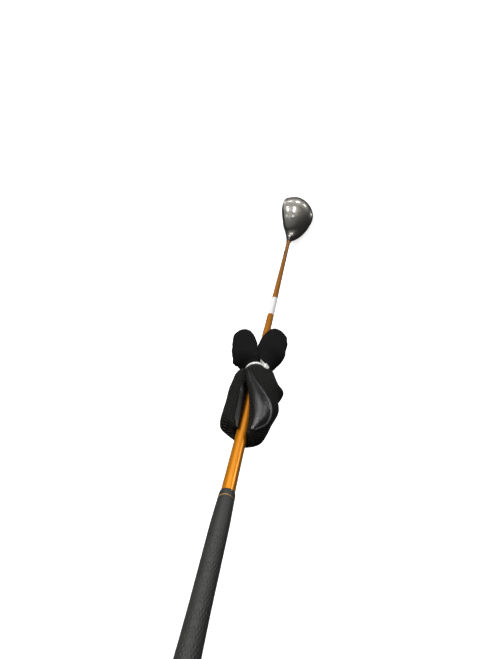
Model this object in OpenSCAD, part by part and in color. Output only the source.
/* [Club] */
// Length of the club from the butt to the ground, along the shaft axis
club_length = 1092; // [900:1:1320]
// Angle between the shaft and the ground when the sole rests flat
lie_angle = 57.5; // [54:0.5:62]

/* [Head] */
// Reach of the toe beyond the point where the shaft axis meets the ground
toe_reach = 86.5; // [72:0.5:104]
// Distance from the widest section of the head to the shaft axis at the ground
shaft_offset = 36; // [30:0.5:44]
// Lead of the face's lower edge in front of the shaft axis
face_progression = 14; // [11:0.5:17]
// Depth of the head from the leading edge to the back
head_depth = 76.5; // [64:0.5:92]
// Height of the face's top line above the ground
face_height = 36; // [30:0.5:44]
// Height of the widest rim of the head above the ground
rim_height = 18; // [15:0.5:21]
// Loft of the face
loft_angle = 15; // [12:0.5:24]
// Radius of the face's roll, from sole to crown
roll_radius = 254; // [200:1:320]
// Wall of the cast body, the crown and the sole
head_wall = 1.4; // [1.1:0.1:1.7]
// Wall of the neck at its top, round the hosel tube
neck_wall = 0.9; // [0.7:0.1:1.4]
// Wall of the striking face
face_wall = 2.6; // [2:0.1:3.2]
// Thickness of the weight pad inside the sole
weight_pad_t = 4; // [3:0.5:5]

/* [Hosel] */
// Height of the hosel's top, along the shaft axis from the ground
hosel_top = 49.5; // [45:0.5:56]
// Wall of the hosel tube
hosel_wall = 1.15; // [0.9:0.05:1.8]
// Depth of the shaft inside the hosel tube
shaft_insertion = 32.5; // [28:0.5:36]
// Thickness of the glue film round the shaft tip
glue_film = 0.1; // [0.05:0.05:0.2]
// Height of the ferrule above the hosel
ferrule_h = 4; // [3:0.5:12]

/* [Shaft] */
// Diameter of the parallel shaft tip
tip_d = 8.7; // [7.2:0.1:10.5]
// Height of the parallel shaft tip above the ground, along the shaft
tip_parallel = 192; // [160:1:230]
// Diameter of the parallel butt under the grip
butt_d = 15.2; // [12.6:0.1:18.3]
// Length of the parallel butt
butt_parallel = 200; // [160:1:235]
// Diameter of the shaft where its upper taper ends
taper_d = 11; // [10.4:0.1:11.6]
// Distance from the butt to the end of the upper taper
taper_from_butt = 625; // [540:1:750]
// Wall of the shaft
shaft_wall = 1.5; // [1:0.1:1.8]
// Distance of the wrapped sticker from the butt
label_start = 655; // [620:1:700]
// Length of the wrapped sticker
label_length = 65; // [40:1:90]
// Thickness of the wrapped sticker
label_t = 0.15; // [0.1:0.05:0.3]

/* [Grip] */
// Length of the grip
grip_length = 264; // [240:1:290]
// Rubber at the mouth of the grip
grip_mouth_wall = 1.1; // [0.9:0.1:1.4]
// Rubber over the lower half of the grip
grip_mid_wall = 1.6; // [1.3:0.1:2]
// Rubber at the butt
grip_butt_wall = 5.4; // [4.5:0.1:6.5]
// Thickness of the grip tape
tape_t = 0.25; // [0.15:0.05:0.4]
// Height of the butt cap
cap_h = 6; // [4:0.5:8]
// Diameter of the vent hole in the butt cap
vent_d = 3.5; // [2.5:0.1:5]
// Depth of the ring groove at the mouth of the grip
groove_depth = 0.3; // [0.2:0.05:0.4]

/* [Headcover] */
// Distance of the tied waist from the butt, along the shaft
waist_from_butt = 482; // [440:1:560]
// Angle of the folded cover round the shaft
cover_turn = 66; // [0:1:359]
// Length of the head pocket from the waist to its round end
pocket_length = 139; // [116:1:167]
// Reach of the pocket's left side from the shaft axis
pocket_left = 28; // [24:1:34]
// Reach of the pocket's right side from the shaft axis
pocket_right = 33; // [29:1:42]
// Thickness of the folded pocket behind the shaft
pocket_t = 8.5; // [7:0.5:11]
// Length of the left sock tongue from the waist to its hem
tongue_left = 80; // [67:1:96]
// Length of the right sock tongue from the waist to its hem
tongue_right = 98; // [82:1:118]
// Width of the left sock tongue
tongue_left_w = 37; // [31:1:44]
// Width of the right sock tongue
tongue_right_w = 45; // [38:1:54]
// Thickness of a sock tongue
tongue_t = 9; // [7:0.5:11]
// Thickness of the leather-look panel
panel_t = 1.6; // [1.2:0.1:2]
// Diameter of the piping along the panel
piping_d = 2.6; // [2:0.1:3.2]
// Slide of the cover towards the grip that its bore leaves room for
slide_to_grip = 60; // [40:1:70]

/* [Cable tie] */
// Width of the cable tie's strap
tie_w = 3.6; // [3:0.1:4.8]
// Thickness of the cable tie's strap
tie_t = 1.2; // [1:0.1:1.5]
// Length of the trimmed tail
tie_tail = 9; // [6:0.5:14]

/* [Clearances] */
// Running clearance between the shaft and what slides on it
slide_gap = 0.3; // [0.2:0.05:0.5]
// Gap between sewn layers of the cover
layer_gap = 0.15; // [0.1:0.05:0.3]
// Gap between the hosel tube and the neck that is welded to it
weld_gap = 0.08; // [0.05:0.01:0.15]

/* [Hidden] */
$fn = 96;

// Centre of the sole's flat, measured from the shaft axis at the ground
sole_lead = 1;
sole_x = -shaft_offset - sole_lead;
sole_y = 8;

// Small shape helpers
function mix(a, b, t) = a + (b - a) * t;
function clamp01(t) = min(1, max(0, t));
function smooth(t) = let (c = clamp01(t)) c * c * (3 - 2 * c);
function arch(t, p) = pow(max(0, 1 - pow(min(1, abs(t)), p)), 1 / p);
function unit(v) = v / max(norm(v), 1e-9);

// The shaft's own frame: Z runs up the shaft from the ground
module on_shaft() {
  translate([-sole_x, -sole_y, 0])
    rotate([0, 90 - lie_angle, 0])
      children();
}

// The head's frame: origin where the shaft axis meets the ground
module on_head() {
  translate([-sole_x, -sole_y, 0])
    children();
}

// Head surface: cross-sections from the toe to the neck, each a ring of face, crown and sole points
face_cells = 7;
crown_cells = 16;
sole_cells = 16;
ring_n = face_cells + crown_cells + sole_cells + 1;
body_steps = 13;
fan_steps = 7;

heel_tail = 4;
toe_half = toe_reach - shaft_offset;
heel_half = shaft_offset + heel_tail;
front_share = 0.4525;
front_depth = head_depth * front_share;
back_depth = head_depth - front_depth;
rim_y = front_depth - face_progression;
// Roundness of the plan's front and back, of the top line and of the sole: 2 is an ellipse
front_round = 3.5;
back_round = 1.9;
top_round = 2.4;
sole_round = 2.6;
// The neck's sections fan out from the last upright section about this pivot above the heel
pivot_share = 0.22;
pivot_above = 10;
pivot_x = -shaft_offset * pivot_share;
pivot_z = face_height + pivot_above;
fan_ease = 1.3;
tip_share = 0.9985;
edge_radius = 3;
edge_rise = 2;
sole_sink = 1.2;
sole_flatness = 0.7;
lead_fall = 5;
back_rim_share = 0.42;
heel_swell = 4.5;

// One vertical section at x: the list of its [y, z] points
function section(x) =
  let (
    d = x < -shaft_offset ? (-shaft_offset - x) / toe_half : (x + shaft_offset) / heel_half,
    y_front = rim_y - front_depth * arch(d, front_round),
    y_back = rim_y + back_depth * arch(d, back_round),
    z_top = rim_height + (face_height - rim_height) * arch(d, top_round),
    z_bottom = rim_height - (rim_height + sole_sink) * arch(d, sole_round),
    z_lead = z_bottom + (edge_radius + edge_rise) * arch(d, sole_round),
    face_h = z_top - z_lead,
    y_top = y_front + face_h * tan(loft_angle),
    y_edge = y_front + edge_radius * arch(d, front_round),
    z_rim = mix(z_bottom, z_top, back_rim_share)
  )
  concat(
    [for (i = [0 : face_cells - 1])
      let (t = i / face_cells, bow = t * (1 - t) * face_h * face_h / (2 * roll_radius))
      [mix(y_front, y_top, t) - bow, mix(z_lead, z_top, t)]],
    [for (i = [0 : crown_cells - 1])
      let (a = 90 * i / crown_cells)
      [mix(y_top, y_back, sin(a)), mix(z_rim, z_top, cos(a))]],
    [for (i = [0 : sole_cells])
      let (a = 90 * (1 - i / sole_cells), rise = edge_rise * arch(d, sole_round) * pow(1 - sin(a), lead_fall))
      [mix(y_edge, y_back, sin(a)), mix(z_rim, z_bottom, pow(cos(a), sole_flatness)) + rise]]
  );

// The direction of each ring point once the section has become a round neck
neck_low = -40;
neck_high = 50;
neck_back = 180;
neck_last = neck_low + 352;
function neck_angle(i) =
  i < face_cells ? mix(neck_low, neck_high, i / face_cells)
  : i < face_cells + crown_cells ? mix(neck_high, neck_back, (i - face_cells) / crown_cells)
  : mix(neck_back, neck_last, (i - face_cells - crown_cells) / sole_cells);

tip_r = tip_d / 2;
glue_r = tip_r + glue_film;
hosel_r = glue_r + hosel_wall;
neck_r = hosel_r + weld_gap + neck_wall;
axis_from_pivot = pivot_z * cos(lie_angle) - pivot_x * sin(lie_angle);
neck_height = pivot_x * cos(lie_angle) + pivot_z * sin(lie_angle);

// One section of the fan that turns about the pivot, from upright to square with the shaft
function fan_section(t) =
  let (
    tilt = lie_angle * t,
    flat = section(pivot_x),
    b = pow(t, fan_ease)
  )
  [for (i = [0 : ring_n - 1])
    let (
      a = neck_angle(i),
      swell = heel_swell * pow(sin(180 * t), 2) * max(0, -sin(a)),
      y = mix(flat[i][0], -neck_r * cos(a), b),
      q = mix(pivot_z - flat[i][1], axis_from_pivot - neck_r * sin(a), b) + swell
    )
    [pivot_x + q * sin(tilt), y, pivot_z - q * cos(tilt)]];

head_rings = concat(
  [for (k = [0 : body_steps])
    let (
      tip_x = -shaft_offset - toe_half * tip_share,
      x = pivot_x - (pivot_x - tip_x) * cos(90 * k / body_steps)
    )
    [for (p = section(x)) [x, p[0], p[1]]]],
  [for (k = [1 : fan_steps]) fan_section(k / fan_steps)]
);
ring_count = len(head_rings);

function ring_point(rings, k, i) =
  rings[min(len(rings) - 1, max(0, k))][(i + ring_n) % ring_n];
function outward(rings, k, i) =
  unit(cross(
    ring_point(rings, k + 1, i) - ring_point(rings, k - 1, i),
    ring_point(rings, k, i + 1) - ring_point(rings, k, i - 1)
  ));
// Rings set in by a depth, and kept that far above the ground where the sole is cut flat
function inset_rings(rings, depth_at) =
  [for (k = [0 : len(rings) - 1])
    [for (i = [0 : ring_n - 1])
      let (depth = depth_at(k, i), p = rings[k][i] - depth * outward(rings, k, i))
      [p[0], p[1], max(p[2], depth)]]];

// Which piece of the head a cell of the surface belongs to
face_range = [4, body_steps - 1];
crown_range = [4, body_steps - 1];
sole_range = [4, body_steps - 2];
crown_from = face_cells + 1;
crown_to = face_cells + crown_cells - 3;
sole_from = face_cells + crown_cells + 3;
sole_to = ring_n - 3;
pad_range = [6, body_steps - 4];
pad_from = sole_from + 3;
pad_to = sole_to - 3;

function within(v, r) = v >= r[0] && v <= r[1];
function piece_of(k, i) =
  within(k, face_range) && within(i, [0, face_cells - 1]) ? "face"
  : within(k, crown_range) && within(i, [crown_from, crown_to]) ? "crown"
  : within(k, sole_range) && within(i, [sole_from, sole_to]) ? "sole"
  : "body";
function pad_of(k, i) =
  within(k, pad_range) && within(i, [pad_from, pad_to]) ? "pad" : "none";

function shell_depth(k, i) =
  within(k, [face_range[0] + 1, face_range[1]]) && within(i, [1, face_cells - 1]) ? face_wall
  : k > body_steps ? mix(head_wall, neck_wall, (k - body_steps) / fan_steps)
  : head_wall;

head_inner = inset_rings(head_rings, function (k, i) shell_depth(k, i));
pad_inner = inset_rings(head_rings, function (k, i) head_wall + weight_pad_t);

// A closed wall between an outer and an inner ring list, over the cells that one piece owns
module wall_piece(outer, inner, owner, name, toe_cap) {
  rows = len(outer);
  half = rows * ring_n;
  function id(k, i) = k * ring_n + (i + ring_n) % ring_n;
  function owns(k, i) = k >= 0 && k < rows - 1 && owner(k, (i + ring_n) % ring_n) == name;
  cells = [for (k = [0 : rows - 2], i = [0 : ring_n - 1]) if (owns(k, i)) [k, i]];
  skin = [for (c = cells)
    let (a = id(c[0], c[1]), b = id(c[0], c[1] + 1), e = id(c[0] + 1, c[1] + 1), f = id(c[0] + 1, c[1]))
    each [[a, b, e], [a, e, f], [half + a, half + e, half + b], [half + a, half + f, half + e]]];
  edges = [for (c = cells)
    let (a = id(c[0], c[1]), b = id(c[0], c[1] + 1), e = id(c[0] + 1, c[1] + 1), f = id(c[0] + 1, c[1]))
    each concat(
      owns(c[0] - 1, c[1]) || (toe_cap && c[0] == 0) ? [] : [[a, b]],
      owns(c[0], c[1] + 1) ? [] : [[b, e]],
      owns(c[0] + 1, c[1]) ? [] : [[e, f]],
      owns(c[0], c[1] - 1) ? [] : [[f, a]]
    )];
  // Neighbours split a rim's quad along the same diagonal, so that their walls meet exactly
  rim = [for (s = edges)
    let (p = s[0], q = s[1], p_in = half + p, q_in = half + q)
    each p < q ? [[p, q_in, q], [p, p_in, q_in]] : [[p, p_in, q], [p_in, q_in, q]]];
  caps = !toe_cap ? [] : [for (j = [0 : ring_n / 2 - 2])
    let (a = j, b = j + 1, e = ring_n - 2 - j, f = ring_n - 1 - j)
    each [[a, e, b], [a, f, e], [half + a, half + b, half + e], [half + a, half + e, half + f]]];
  flat = function (rings) [for (r = rings) each r];
  polyhedron(concat(flat(outer), flat(inner)), concat(skin, rim, caps));
}

// Head
module head_body() {
  color("#3f4042")
    on_head()
      wall_piece(head_rings, head_inner, function (k, i) piece_of(k, i), "body", true);
}

module crown_plate() {
  color("#5a5b5c")
    on_head()
      wall_piece(head_rings, head_inner, function (k, i) piece_of(k, i), "crown", false);
}

module face_plate() {
  color("#2b2b2b")
    on_head()
      wall_piece(head_rings, head_inner, function (k, i) piece_of(k, i), "face", false);
}

module sole_plate() {
  ground = 4 * toe_reach;
  color("#8a8b8d")
    difference() {
      on_head()
        wall_piece(head_rings, head_inner, function (k, i) piece_of(k, i), "sole", false);
      translate([-ground / 2, -ground / 2, -ground])
        cube(ground);
    }
}

module weight_pad() {
  color("#77787a")
    on_head()
      wall_piece(head_inner, pad_inner, function (k, i) pad_of(k, i), "pad", false);
}

// Hosel
shaft_foot = hosel_top - shaft_insertion;
seat_step = 1;

module tube(z0, z1, r_in, r_out) {
  translate([0, 0, z0])
    difference() {
      cylinder(h = z1 - z0, r = r_out);
      translate([0, 0, -1])
        cylinder(h = z1 - z0 + 2, r = r_in);
    }
}

module hosel_tube() {
  color("#4a4b4d")
    on_shaft()
      tube(shaft_foot - seat_step, hosel_top, glue_r, hosel_r);
}

module hosel_epoxy() {
  color("#c9a35a")
    on_shaft()
      tube(shaft_foot, hosel_top, tip_r, glue_r);
}

// Ferrule: a collar in line with the hosel, then a rounded taper down to the shaft
module ferrule() {
  top_wall = 0.5;
  top_r = tip_r + top_wall;
  collar_h = ferrule_h * 0.35;
  taper_steps = 6;
  color("#151515")
    on_shaft()
      rotate_extrude()
        polygon(concat(
          [[tip_r, hosel_top], [hosel_r, hosel_top]],
          [for (i = [0 : taper_steps])
            let (a = 90 * i / taper_steps)
            [mix(top_r, hosel_r, cos(a)), mix(hosel_top + collar_h, hosel_top + ferrule_h, sin(a))]],
          [[tip_r, hosel_top + ferrule_h]]
        ));
}

// Shaft: heights are measured up from the ground, so the butt is the highest
shaft_top = club_length - cap_h;
taper_end = club_length - taper_from_butt;
butt_foot = club_length - butt_parallel;
shaft_knees = [[tip_parallel, tip_r], [taper_end, taper_d / 2], [butt_foot, butt_d / 2]];
function shaft_r(h) = lookup(h, shaft_knees);
function stops_between(h0, h1) =
  concat([h0], [for (k = shaft_knees) if (k[0] > h0 && k[0] < h1) k[0]], [h1]);

// A sleeve that follows the shaft's taper between two heights, from one offset to another
module shaft_sleeve(h0, h1, inner, outer) {
  stops = stops_between(h0, h1);
  last = len(stops) - 1;
  rotate_extrude()
    polygon(concat(
      [for (h = stops) [shaft_r(h) + outer, h]],
      [for (j = [last : -1 : 0]) [shaft_r(stops[j]) + inner, stops[j]]]
    ));
}

module shaft() {
  color("#c98a24")
    on_shaft()
      shaft_sleeve(shaft_foot, shaft_top, -shaft_wall, 0);
}

module tip_plug() {
  plug_h = 10;
  color("#b08a5a")
    on_shaft()
      translate([0, 0, shaft_foot])
        cylinder(h = plug_h, r = tip_r - shaft_wall);
}

module shaft_label() {
  label_top = club_length - label_start;
  color("#e9e9e6")
    on_shaft()
      shaft_sleeve(label_top - label_length, label_top, 0, label_t);
}

// Grip
grip_foot = club_length - grip_length;
cap_foot = shaft_top;
grip_butt_r = butt_d / 2 + tape_t + grip_butt_wall;
cap_lip = 0.75;
tape_inset = 4;
tape_foot = grip_foot + tape_inset;
groove_above = 7.5;
groove_at = grip_foot + groove_above;
groove_h = 2.4;
groove_slope = 0.4;

module grip_tape() {
  color("#d8d2c4")
    on_shaft()
      shaft_sleeve(tape_foot, shaft_top, 0, tape_t);
}

module grip() {
  mid_low = grip_foot + grip_length * 0.19;
  mid_high = grip_foot + grip_length * 0.39;
  mouth_r = shaft_r(grip_foot) + grip_mouth_wall;
  mid_r = shaft_r(mid_high) + tape_t + grip_mid_wall;
  mouth_round = 0.9;
  mouth_h = 3;
  mouth_steps = 4;
  collar_r = mouth_r + 0.2;
  groove_r = collar_r - groove_depth;
  groove_top = groove_at + groove_h;
  rim_h = 4;
  flare_foot = cap_foot - rim_h;
  swell_steps = 4;
  flare_steps = 8;
  tape_stops = stops_between(tape_foot, cap_foot);
  outside = concat(
    [for (i = [0 : mouth_steps])
      let (a = 90 * i / mouth_steps)
      [mouth_r - mouth_round * (1 - sin(a)), grip_foot + mouth_h * (1 - cos(a))]],
    [
      [collar_r, groove_at],
      [groove_r, groove_at + groove_slope],
      [groove_r, groove_top - groove_slope],
      [collar_r, groove_top]
    ],
    [for (i = [1 : swell_steps])
      let (a = 90 * i / swell_steps)
      [mix(collar_r, mid_r, sin(a)), mix(groove_top, mid_low, i / swell_steps)]],
    [for (i = [0 : flare_steps])
      let (t = i / flare_steps)
      [mix(mid_r, grip_butt_r, 1 - cos(90 * t)), mix(mid_high, flare_foot, t)]],
    [[grip_butt_r, cap_foot]]
  );
  bore = concat(
    [for (j = [len(tape_stops) - 1 : -1 : 0]) [shaft_r(tape_stops[j]) + tape_t, tape_stops[j]]],
    [for (h = [tape_foot, grip_foot]) [shaft_r(h), h]]
  );
  color("#2c2c2a")
    on_shaft()
      rotate_extrude()
        polygon(concat(outside, bore));
}

// Butt cap: a lip round the grip's end, a domed top and the vent hole
module grip_cap() {
  cap_r = grip_butt_r + cap_lip;
  lip_round = 0.8;
  dome_foot = cap_foot + cap_h * 0.5;
  dome_flat = cap_r - 4;
  dome_steps = 6;
  color("#242423")
    on_shaft()
      difference() {
        rotate_extrude()
          polygon(concat(
            [[0, cap_foot], [cap_r - lip_round, cap_foot], [cap_r, cap_foot + lip_round]],
            [for (i = [0 : dome_steps])
              let (a = 90 * i / dome_steps)
              [mix(dome_flat, cap_r, cos(a)), mix(dome_foot, club_length, sin(a))]],
            [[0, club_length]]
          ));
        translate([0, 0, cap_foot - 1])
          cylinder(h = cap_h + 2, d = vent_d);
      }
}

// Headcover: drawn in its own frame, with Z up the shaft from the tied waist and Y to the open side of the fold
waist_height = club_length - waist_from_butt;
function channel_r(z) = shaft_r(waist_height + z + slide_to_grip) + slide_gap;
band_t = 0.9;
band_h = 14;
band_in = channel_r(band_h / 2);
band_out = band_in + band_t;
ring_in = band_out + slide_gap + layer_gap;
roll_gap = 0.5;
waist_t = 7;
ring_mid = ring_in + waist_t / 2;
ring_out = ring_in + waist_t;
tie_gap = 0.2;
tie_in = ring_out + tie_gap;
tie_head_w = tie_w + 2;
// Half of the waist that the tie holds round: the cover opens out beyond it
tie_half = tie_head_w / 2 + layer_gap;

module on_cover() {
  on_shaft()
    translate([0, 0, waist_height])
      rotate([0, 0, cover_turn])
        children();
}

// Loft of closed rings that each have a low and a high side of equal count.
// Both sides split their quads along the same diagonal, so that stacked layers keep their gap.
module strip_loft(rings) {
  n = len(rings[0]);
  rows = len(rings);
  function id(k, i) = k * n + i % n;
  skin = [for (k = [0 : rows - 2], i = [0 : n - 1])
    let (a = id(k, i), b = id(k, i + 1), e = id(k + 1, i + 1), f = id(k + 1, i))
    each i < n / 2 ? [[a, e, b], [a, f, e]] : [[a, f, b], [b, f, e]]];
  caps = [for (j = [0 : n / 2 - 2])
    let (a = j, b = j + 1, e = n - 2 - j, f = n - 1 - j, t = (rows - 1) * n)
    each [[a, b, e], [a, e, f], [t + a, t + e, t + b], [t + a, t + f, t + e]]];
  polyhedron([for (r = rings) each r], concat(skin, caps));
}

// Pocket: rolled round the shaft. Its two lips meet along a slit at the waist and part towards the round end.
// Angles run round the shaft from the fold's right side, with 90 degrees at its front.
pocket_steps = 18;
roll_n = 28;
slit_at_waist = 145;
slit_at_end = 126;
slit_run = 65;
lip_opening = 58;
lip_shut = 35;
lip_part = 95;
lip_gap_angle = 2;
left_wrap = 10;
left_wrap_run = 60;
swell_right = 36;
swell_left = 15;
front_swell = 6;
front_run = 9;
front_at = 65;
bump_at = 42;
bump_reach = 7;
bump_size = 7.5;
close_right = 0.5;
close_left = 0.88;
close_to = 1.005;
left_spread = 0.25;
end_thin = 0.3;
end_slant = 16;
lobe_power = 1.6;
lip_thin = 0.55;

function swelled(z, run) = smooth((z - tie_half) / run);
function closing(z, from) = arch(max(0, (z / pocket_length - from) / (close_to - from)), 2);
function slit(z) = mix(slit_at_waist, slit_at_end, smooth(z / slit_run));
function right_lip(z) = slit(z) - lip_opening * smooth((z - lip_shut) / lip_part) - lip_gap_angle;
function left_lip(z) = slit(z) - left_wrap * smooth((z - lip_shut) / left_wrap_run) + lip_gap_angle;
function roll_in(z) = mix(ring_in, channel_r(z) + roll_gap, smooth((z - band_h) / swell_right));
function roll_back(z) =
  roll_in(z)
  + mix(waist_t, pocket_t, swelled(z, swell_right)) * mix(end_thin, 1, closing(z, close_right));
function lobe(v) = pow(max(0, v), lobe_power);
function roll_out(z, g) =
  let (
    right = pocket_right - roll_back(0) + bump_size * exp(-pow((z - bump_at) / bump_reach, 2)),
    left = (pocket_left - roll_back(0)) * mix(1 - left_spread, 1 + left_spread, z / pocket_length)
  )
  roll_back(z)
  + swelled(z, swell_right) * closing(z, close_right) * right * lobe(cos(g))
  + swelled(z, front_run) * closing(z, close_right) * front_swell * lobe(cos(g - front_at))
  + swelled(z, swell_left) * closing(z, close_left) * left * lobe(-cos(g));
function roll_angle(z, x) = mix(right_lip(z), left_lip(z) - 360, x);
// The left half of the round end stops short of the right half
function slanted(z, g) = z - end_slant * pow(z / pocket_length, 3) * max(0, -cos(g));
function polar(r, g, z) = [r * cos(g), r * sin(g), slanted(z, g)];
function lip_round(x) = mix(lip_thin, 1, arch(2 * x - 1, 9));
function roll_r(z, x, share) =
  let (
    g = roll_angle(z, x),
    thick = roll_out(z, g) - roll_in(z),
    round = lip_round(x)
  )
  roll_in(z) + thick * (0.5 + (share - 0.5) * round);
// Heights of the pocket's rings: the first two lie under the tie, the rest close up towards the round end
function pocket_z(j) =
  let (t = (j - 1) / (pocket_steps - 1))
  j == 0 ? layer_gap : mix(tie_half, pocket_length, mix(t, sin(90 * t), 0.5));

// One layer of the rolled pocket between two shares of its thickness
module pocket_layer(low, high) {
  rings = [for (j = [0 : pocket_steps])
    let (z = pocket_z(j))
    concat(
      [for (i = [0 : roll_n])
        let (x = i / roll_n) polar(roll_r(z, x, low), roll_angle(z, x), z)],
      [for (i = [roll_n : -1 : 0])
        let (x = i / roll_n) polar(roll_r(z, x, high), roll_angle(z, x), z)]
    )];
  strip_loft(rings);
}

lining_share = 0.2;
padding_share = 0.66;
gap_share = layer_gap / 6;

module pocket_lining() {
  color("#303030")
    on_cover()
      pocket_layer(0, lining_share);
}

module pocket_padding() {
  color("#8c8a80")
    on_cover()
      pocket_layer(lining_share + gap_share, padding_share);
}

module pocket_shell() {
  color("#181818")
    on_cover()
      pocket_layer(padding_share + gap_share, 1);
}

// Leather-look panel: a leaf on the right lip, on top of the knit shell.
// Its other edge turns in and faces the end of the left lip, beside the shaft.
leaf_span = 41;
leaf_inset = 4;
leaf_low = 0.06;
leaf_high = 0.97;
leaf_late = 1.3;
leaf_blunt = 0.9;
facing_low = 60;
facing_high = 126;
facing_inset = 0.5;
panel_first = 2;
panel_steps = pocket_steps - 3;
panel_n = 7;
panel_lift = 3 * layer_gap;
function leaf_z(j) = pocket_z(panel_first + j);
function leaf_width(j) =
  pow(sin(180 * pow(mix(leaf_low, leaf_high, j / panel_steps), leaf_late)), leaf_blunt);
// Angle of the leaf: x runs from the lip to the seam
function leaf_angle(j, x) = right_lip(leaf_z(j)) - leaf_inset - leaf_span * leaf_width(j) * x;
function shell_r(z, g) =
  let (turned = g > slit(z) ? g - 360 : g)
  roll_r(z, (right_lip(z) - turned) / (right_lip(z) - left_lip(z) + 360), 1);
// Stretch of a radial offset that keeps its distance from the sloping shell
function shell_slope(z, g) = (shell_r(z, g + 1) - shell_r(z, g - 1)) / (2 * shell_r(z, g) * PI / 180);
function shell_stretch(z, g) = norm([1, shell_slope(z, g)]);

// Facing of the left lip: x runs away from the shaft, o is the distance from the lip's end
function facing_point(z, x, o) =
  let (
    low = roll_r(z, 1, 0) + facing_inset,
    high = roll_r(z, 1, 1) - facing_inset,
    r = mix(low, high, x)
  )
  polar(r, left_lip(z) - o / r * 180 / PI, z);

module pocket_panel() {
  leaf = [for (j = [0 : panel_steps])
    let (z = leaf_z(j))
    concat(
      [for (i = [0 : panel_n])
        let (g = leaf_angle(j, i / panel_n))
        polar(shell_r(z, g) + panel_lift, g, z)],
      [for (i = [panel_n : -1 : 0])
        let (g = leaf_angle(j, i / panel_n))
        polar(shell_r(z, g) + panel_lift + panel_t, g, z)]
    )];
  facing = [for (j = [0 : panel_steps])
    let (z = mix(facing_low, facing_high, j / panel_steps))
    concat(
      [for (i = [0 : panel_n]) facing_point(z, i / panel_n, panel_lift)],
      [for (i = [panel_n : -1 : 0]) facing_point(z, i / panel_n, panel_lift + panel_t)]
    )];
  color("#262626")
    on_cover() {
      strip_loft(leaf);
      strip_loft(flipped(facing));
    }
}

// Piping: a round cord beside the leaf's seam
module panel_piping() {
  cord_sides = 8;
  cord_r = piping_d / 2;
  seam_gap = cord_r + panel_lift;
  path = [for (j = [0 : panel_steps])
    let (
      z = leaf_z(j),
      seam = leaf_angle(j, 1),
      g = seam - seam_gap / shell_r(z, seam) * 180 / PI
    )
    polar(shell_r(z, g) + seam_gap * shell_stretch(z, g), g, z)];
  rings = [for (j = [0 : panel_steps])
    let (
      run = unit(path[min(panel_steps, j + 1)] - path[max(0, j - 1)]),
      across = unit(cross(run, [path[j][0], path[j][1], 0])),
      up = cross(run, across)
    )
    [for (i = [0 : cord_sides - 1])
      let (a = 360 * i / cord_sides)
      path[j] + cord_r * (cos(a) * across + sin(a) * up)]];
  color("#101010")
    on_cover()
      strip_loft(rings);
}

// Sock tongues: each opens from half of the waist's ring to a flat padded leaf in front of the shaft
tongue_steps = 14;
root_ease = 1.3;
tongue_n = 9;
ring_turn = 174;
half_round = ring_mid * ring_turn * PI / 180;
tongue_turn = 34;
open_left = 16;
open_right = 50;
parting = 44;
inner_lead = 8;
part_left = 0.24;
part_right = 0.1;
tongue_clear = 1.5;
tongue_rise = 0.04;
round_from = 0.52;
round_left = 1.012;
round_right = 1.06;
round_power = 2.3;
end_width = 0.2;
edge_thin = 0.35;
hem_h = 7;
hem_proud = 0.8;
hem_blunt = 0.45;

// Point on a strip bent into an arc: a is the way along it, o the offset towards the arc's centre
function bent(side, turn, length, a, o) =
  let (rho = length / (turn * PI / 180), g = a / rho * 180 / PI)
  [side * (rho - o) * sin(g), rho - (rho - o) * cos(g)];
function tongue_length(side) = side < 0 ? tongue_left : tongue_right;
function tongue_opened(z, side) = smooth((z - tie_half) / (side < 0 ? open_left : open_right));
// Where the tongue's inner edge lies across the shaft
function inner_edge(z, side) =
  let (apart = max(0, z - parting))
  (side < 0 ? -part_left : part_right) * apart - inner_lead * smooth(z / parting) + side * layer_gap;
function tongue_close(z, side) =
  let (round_to = side < 0 ? round_left : round_right)
  arch(max(0, (z / tongue_length(side) - round_from) / (round_to - round_from)), round_power);
function tongue_span(z, side) =
  mix(half_round, side < 0 ? tongue_left_w : tongue_right_w, tongue_opened(z, side));
function tongue_lift(z, side) =
  mix(ring_mid, channel_r(0) + tongue_clear + tongue_t / 2 + tongue_rise * z, tongue_opened(z, side));
function edge_fall(x) = mix(edge_thin, 1, arch(2 * x - 1, 5));
function tongue_point(z, side, x, o) =
  let (
    span = tongue_span(z, side),
    shut = mix(end_width, 1, tongue_close(z, side)),
    a = span * mix(0.5 - 0.5 * shut, 0.5 + 0.5 * shut, x),
    p = bent(side, mix(ring_turn, tongue_turn, tongue_opened(z, side)), span, a, o)
  )
  [inner_edge(z, side) + p[0], tongue_lift(z, side) - p[1], -z];
function tongue_ring(z, side, t) =
  concat(
    [for (i = [0 : tongue_n])
      let (x = i / tongue_n) tongue_point(z, side, x, -0.5 * t * edge_fall(x))],
    [for (i = [tongue_n : -1 : 0])
      let (x = i / tongue_n) tongue_point(z, side, x, 0.5 * t * edge_fall(x))]
  );
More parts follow.
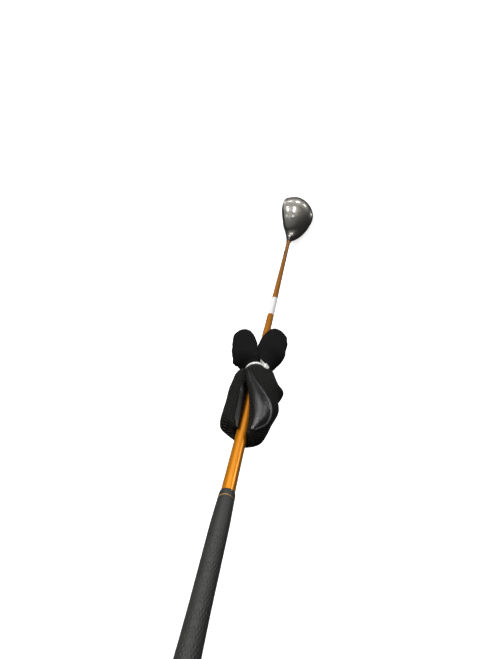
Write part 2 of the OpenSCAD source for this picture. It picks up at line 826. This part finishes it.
function flipped(rings) = [for (r = rings) [for (i = [len(r) - 1 : -1 : 0]) r[i]]];

module tongue_loft(side, z0, z1, steps, ease, proud, blunt) {
  rings = [for (j = [0 : steps])
    let (
      z = mix(z0, z1, pow(j / steps, ease)),
      end = 1 - blunt * pow(j / steps, 2),
      t = (mix(waist_t, tongue_t, tongue_opened(z, side)) + proud) * end
    )
    tongue_ring(z, side, t)];
  strip_loft(side < 0 ? flipped(rings) : rings);
}

module neck_left() {
  color("#1a1a1a")
    on_cover()
      tongue_loft(-1, layer_gap, tongue_left - hem_h - layer_gap, tongue_steps, root_ease, 0, 0);
}

module neck_right() {
  color("#1a1a1a")
    on_cover()
      tongue_loft(1, layer_gap, tongue_right - hem_h - layer_gap, tongue_steps, root_ease, 0, 0);
}

module neck_hem() {
  hem_steps = 4;
  color("#121212")
    on_cover()
      for (side = [-1, 1])
        tongue_loft(side, tongue_length(side) - hem_h, tongue_length(side), hem_steps, 1, hem_proud, hem_blunt);
}

module waist_band() {
  color("#202020")
    on_cover()
      tube(-band_h / 2, band_h / 2, band_in, band_out);
}

// Cable tie: strap, ratchet head and trimmed tail in one moulding
module cable_tie() {
  head_l = tie_w + 2.4;
  head_t = tie_t + 2.8;
  head_at = 52;
  tail_lift = tie_t + 0.5;
  tie_out = tie_in + tie_t;
  color("#f2f2ee")
    on_cover() {
      tube(-tie_w / 2, tie_w / 2, tie_in, tie_out);
      rotate([0, 0, head_at])
        translate([tie_in + tie_t / 2, -head_l / 2, -tie_head_w / 2])
          cube([head_t, head_l, tie_head_w]);
      rotate([0, 0, head_at])
        translate([tie_in + tail_lift, 0, -tie_w / 2])
          cube([tie_t, tie_tail + head_l / 2, tie_w]);
    }
}

head_body();
crown_plate();
face_plate();
sole_plate();
weight_pad();
hosel_tube();
hosel_epoxy();
ferrule();
shaft();
tip_plug();
shaft_label();
grip_tape();
grip();
grip_cap();
cable_tie();
waist_band();
pocket_lining();
pocket_padding();
pocket_shell();
pocket_panel();
panel_piping();
neck_left();
neck_right();
neck_hem();
